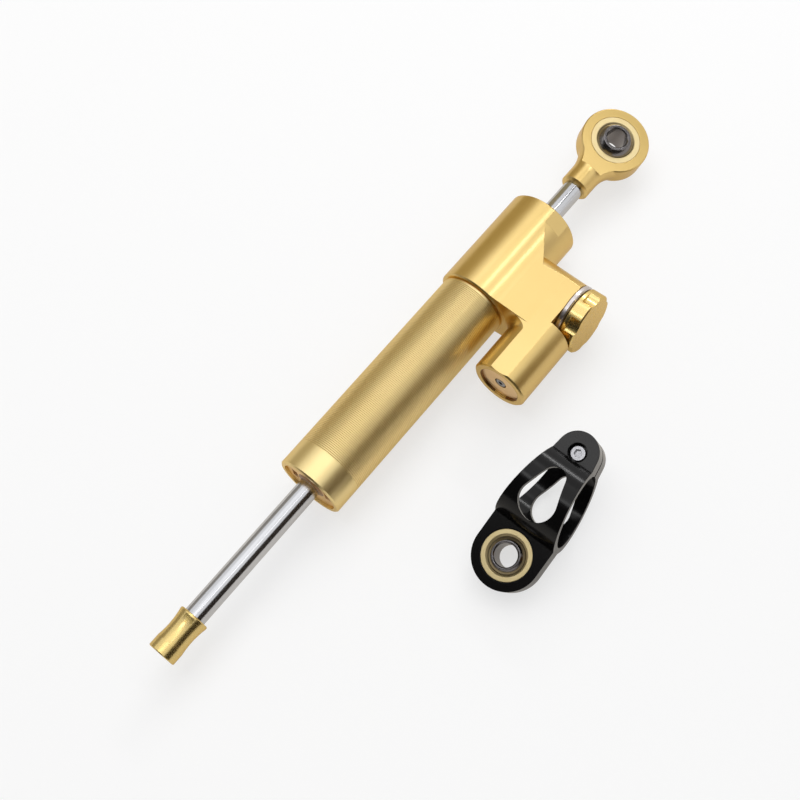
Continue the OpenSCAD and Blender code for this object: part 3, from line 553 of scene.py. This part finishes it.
# normal: the axis that a card faces, 0 to 2 for x to z; at: its place on it; outline: the other two, in order
cards = {
    "flagKnobSide": {"tint": "#332E29", "glow": 1.0, "normal": 1, "at": 0.55,
                     "outline": rectangle((0.05, floorTop), (1.5, 0.57))},
    "goldKnobMiddle": {"tint": "#5F4524", "glow": 1.0, "normal": 1, "at": 0.55,
                       "outline": [(-0.2, floorTop), (0.05, floorTop), (0.05, 0.57), (-0.2, 0.36)]},
    "flagKnobEnd": {"tint": "#B4A58C", "glow": 1.0, "normal": 1, "at": 0.55,
                    "outline": rectangle((-1.0, floorTop), (-0.32, 0.22))},
    "flagFarSide": {"tint": "#9E9991", "glow": 1.0, "normal": 1, "at": -0.55,
                    "outline": [(0.05, floorTop), (1.5, floorTop), (1.5, 0.36), (0.2, 0.36), (0.05, 0.465)]},
    "goldFarSide": {"tint": "#A99A76", "glow": 1.0, "normal": 1, "at": -0.55,
                    "outline": [(-1.0, floorTop), (0.05, floorTop), (0.05, 0.465), (-0.6, 0.92),
                                (-1.0, 0.92)]},
    "flagCapEnd": {"tint": "#2E2C2A", "glow": 1.0, "normal": 2, "at": 0.9,
                   "outline": rectangle((0.52, -1.0), (1.7, 0.7))},
    "flagLobe": {"tint": "#2E2C2A", "glow": 1.0, "normal": 2, "at": 0.9,
                 "outline": rectangle((0.43, -0.24), (0.52, 0.05))},
    "flagFarEnd": {"tint": "#2E2C2A", "glow": 1.0, "normal": 0, "at": 1.2,
                   "outline": rectangle((-1.0, floorTop), (0.55, 0.9))},
    "glowOverhead": {"tint": "#FFFFFF", "glow": 1.35, "normal": 2, "at": 0.97,
                     "outline": rectangle((-0.4, -0.45), (0.2, 0.1))},
    "glowBarrel": {"tint": "#FFFFFF", "glow": 2.4, "normal": 2, "at": 0.96,
                   "outline": rectangle((-0.37, -0.36), (-0.2, -0.15))},
    "dimEye": {"tint": "#5E584E", "glow": 1.0, "normal": 2, "at": 0.93,
               "outline": rectangle((-1.3, 0.02), (-0.53, 0.5))},
    "glowCapEnd": {"tint": "#FFFFFF", "glow": 1.9, "normal": 2, "at": 0.9,
                   "outline": rectangle((0.2, -0.1), (0.33, 0.2))},
    "glowEar": {"tint": "#FFFFFF", "glow": 4.0, "normal": 2, "at": 0.9,
                "outline": rectangle((0.31, -0.3), (0.42, 0.05))},
    "floorCard": {"tint": "#B8B4AE", "glow": 0.7, "normal": 2, "at": floorTop, "shadowed": True,
                  "outline": rectangle((-0.5, -0.55), (0.7, 0.55))},
}
for name, card in cards.items():
    material, tree = startMaterial(name + "Paper")
    paper = addNode(tree, "ShaderNodeEmission",
                    {"Color": hexToLinear(card["tint"]), "Strength": card["glow"]})
    if card.get("shadowed"):
        # part of its shade comes from the lamps, so that the gloss shows the object's shadow
        matte = addNode(tree, "ShaderNodeBsdfDiffuse", {"Color": hexToLinear(card["tint"])})
        paper = addNode(tree, "ShaderNodeAddShader", None, {0: (paper, 0), 1: (matte, 0)})
    addNode(tree, "ShaderNodeOutputMaterial", None, {"Surface": (paper, 0)})
    corners = [list(corner) for corner in card["outline"]]
    for corner in corners:
        corner.insert(card["normal"], card["at"])
    mesh = bpy.data.meshes.new(name)
    mesh.from_pydata(corners, [], [range(len(corners))])
    mesh.materials.append(material)
    sheet = bpy.data.objects.new(name, mesh)
    sheet.visible_camera = False
    sheet.visible_diffuse = False
    sheet.visible_shadow = False
    bpy.context.scene.collection.objects.link(sheet)
print("cards set:", len(cards))

# Camera at the photographed angle, looking down across the damper
cameraLook = {"place": (0.2482, 0.1396, 0.3498), "right": (-0.6326, 0.7687, -0.0940),
              "up": (-0.7187, -0.5376, 0.4409), "lens": 50, "sensor": 36, "nearest": 0.01}
right, up = Vector(cameraLook["right"]).normalized(), Vector(cameraLook["up"])
up = (up - right * up.dot(right)).normalized()
lens = bpy.data.cameras.new("camera")
lens.lens = cameraLook["lens"]
lens.sensor_width = cameraLook["sensor"]
lens.clip_start = cameraLook["nearest"]
camera = bpy.data.objects.new("camera", lens)
turnTo = Matrix((right, up, right.cross(up))).transposed().to_4x4()
camera.matrix_world = Matrix.Translation(cameraLook["place"]) @ turnTo
bpy.context.scene.collection.objects.link(camera)
bpy.context.scene.camera = camera
bpy.context.scene.view_settings.view_transform = "Standard"
print("camera set")
